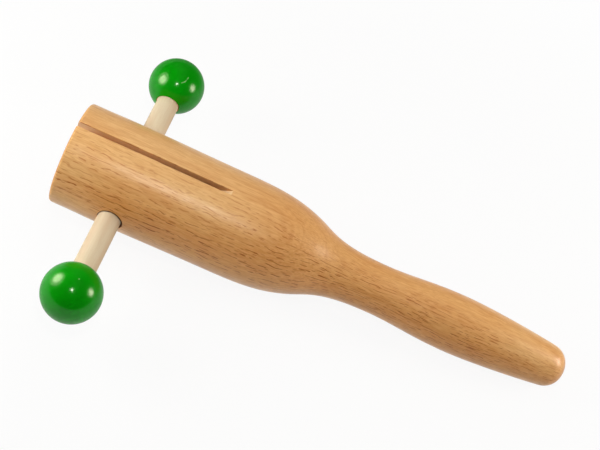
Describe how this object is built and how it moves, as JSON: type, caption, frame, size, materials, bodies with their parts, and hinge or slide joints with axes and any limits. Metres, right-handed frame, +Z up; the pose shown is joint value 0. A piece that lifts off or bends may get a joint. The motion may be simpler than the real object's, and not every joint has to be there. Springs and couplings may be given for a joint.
{
  "type": "wooden ratchet",
  "caption": "Turned wooden hand ratchet: a hollow slotted head on a shaped handle, crossed by an axle with a green ball on each end; turning it makes a cog snap a tongue inside.",
  "frame": {"origin": "centre of the whole instrument's bounding box in X and Y, level with the lowest point of the head", "axes": "+X along the turning axis from the open end of the head to the tip of the handle, +Y along the axle from the near ball to the far ball, +Z up through the sound slot"},
  "size_m": [0.2326, 0.139, 0.0455],
  "materials": {
    "varnished_beech": "beech with fine dark flecks, satin clear varnish",
    "pale_dowel": "smooth pale birch, unvarnished",
    "green_lacquer": "wood under green gloss lacquer",
    "plain_beech": "plain sawn beech",
    "spring_slat": "thin smooth hardwood slat",
    "peg_wood": "dark hardwood peg"
  },
  "bodies": {
    "body": {"turned_body": "varnished_beech", "tongue": "spring_slat", "tongue_block": "plain_beech", "tongue_wedge": "peg_wood"},
    "axle_assembly": {"axle": "pale_dowel", "near_ball": "green_lacquer", "far_ball": "green_lacquer", "cog_wheel": "plain_beech", "cog_pin": "peg_wood"}
  },
  "joints": [
    {"name": "axle_spin", "type": "hinge", "parent": "body", "child": "axle_assembly", "pos_m": [-0.0894, 0, 0.02278], "axis": [0, 1, 0], "continuous": true, "deforming": ["tongue"]}
  ]
}
